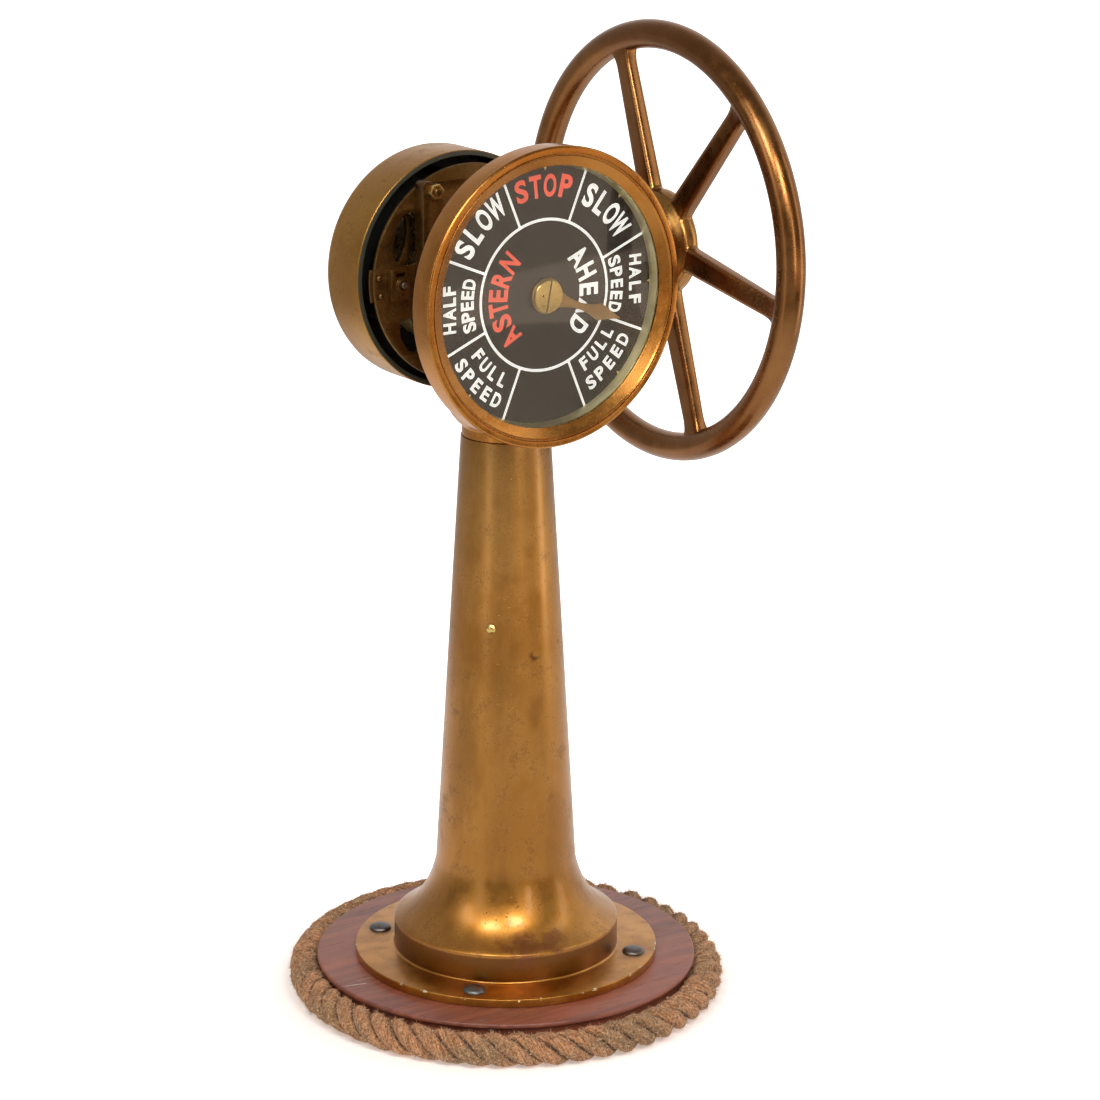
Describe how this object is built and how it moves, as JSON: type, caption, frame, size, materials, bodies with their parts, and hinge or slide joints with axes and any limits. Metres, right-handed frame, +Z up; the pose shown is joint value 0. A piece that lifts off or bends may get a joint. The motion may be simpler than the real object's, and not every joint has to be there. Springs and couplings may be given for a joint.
{
  "type": "ship engine order telegraph",
  "caption": "Pedestal ship engine telegraph: one round glazed dial with a pointer, a side handwheel, an open rear mechanism under a cup cover, and a rope-trimmed wooden plinth.",
  "frame": {"origin": "centre of the plinth's underside", "axes": "+Z up the pedestal, the dial faces -Y, the handwheel stands on the +X side"},
  "size_m": [0.4543, 0.4576, 1.0068],
  "materials": {
    "wood": "varnished mahogany, semi-gloss",
    "rope": "coarse three-strand coir",
    "brass": "aged, mottled patina",
    "red_brass": "aged red bronze, worn smooth",
    "pale_brass": "brighter, less worn",
    "steel": "dark, oiled",
    "dial_black": "charcoal enamel",
    "glass": "clear"
  },
  "bodies": {
    "stand": {"plinth": "wood", "rope_border": "rope", "pedestal_column": "brass", "base_bolt_1": "steel", "base_bolt_2": "steel", "base_bolt_3": "steel", "base_bolt_4": "steel", "column_plug": "pale_brass", "head_frame": "brass", "dial_case": "brass", "case_screw_1": "steel", "case_screw_2": "steel", "case_screw_3": "steel", "case_screw_4": "steel", "dial_plate": "dial_black", "dial_ring": "pale_brass", "dial_glass": "glass", "bezel": "brass", "mechanism_plate": "brass", "cover_clip": "brass", "clip_screw_1": "brass", "clip_screw_2": "brass", "frame_stud_left": "brass", "frame_stud_right": "brass", "frame_nut_left": "brass", "frame_nut_right": "brass", "rear_cover": "brass", "cover_pillar_1": "brass", "cover_pillar_2": "brass", "cover_pillar_3": "brass", "cover_screw_1": "pale_brass", "cover_screw_2": "pale_brass", "cover_screw_3": "pale_brass", "shaft_bearing": "brass", "shaft_housing": "brass", "detent_bracket": "brass", "detent_pin": "steel", "detent_spring": "steel", "gong": "pale_brass", "gong_post": "brass", "gong_nut": "pale_brass", "striker_post": "steel"},
    "wheel": {"handwheel": "red_brass", "wheel_shaft": "steel", "wheel_nut": "brass", "bevel_pinion": "pale_brass", "chain_sprocket": "steel", "shaft_collar": "steel"},
    "layshaft_group": {"layshaft": "steel", "layshaft_gear": "pale_brass", "bevel_gear": "pale_brass"},
    "pointer_group": {"pointer": "brass", "hub_screw": "brass", "pointer_spindle": "steel", "spindle_gear": "pale_brass", "star_wheel": "brass"},
    "detent": {"detent_lever": "brass"},
    "hammer": {"striker": "steel"}
  },
  "joints": [
    {"name": "wheel_turn", "type": "hinge", "parent": "stand", "child": "wheel", "pos_m": [0, 0, 0.778], "axis": [1, 0, 0], "range_deg": [-24.5, 245.5]},
    {"name": "layshaft_turn", "type": "hinge", "parent": "stand", "child": "layshaft_group", "pos_m": [0, 0, 0.778], "axis": [0, 1, 0], "range_deg": [-24.5, 245.5]},
    {"name": "pointer_turn", "type": "hinge", "parent": "stand", "child": "pointer_group", "pos_m": [0, 0, 0.757], "axis": [0, 1, 0], "range_deg": [-245.5, 24.5]},
    {"name": "detent_swing", "type": "hinge", "parent": "stand", "child": "detent", "pos_m": [-0.084, 0, 0.755], "axis": [0, -1, 0], "range_deg": [0, 5], "stiffness_Nm_per_rad": 0.3, "springref_deg": -8.59},
    {"name": "striker_swing", "type": "hinge", "parent": "stand", "child": "hammer", "pos_m": [0.045, 0, 0.697], "axis": [0, 1, 0], "range_deg": [0, 6], "stiffness_Nm_per_rad": 0.3, "springref_deg": -14.32}
  ],
  "couplings": [
    {"joint": "layshaft_turn", "follows": "wheel_turn", "ratio": 1},
    {"joint": "pointer_turn", "follows": "wheel_turn", "ratio": -1}
  ]
}
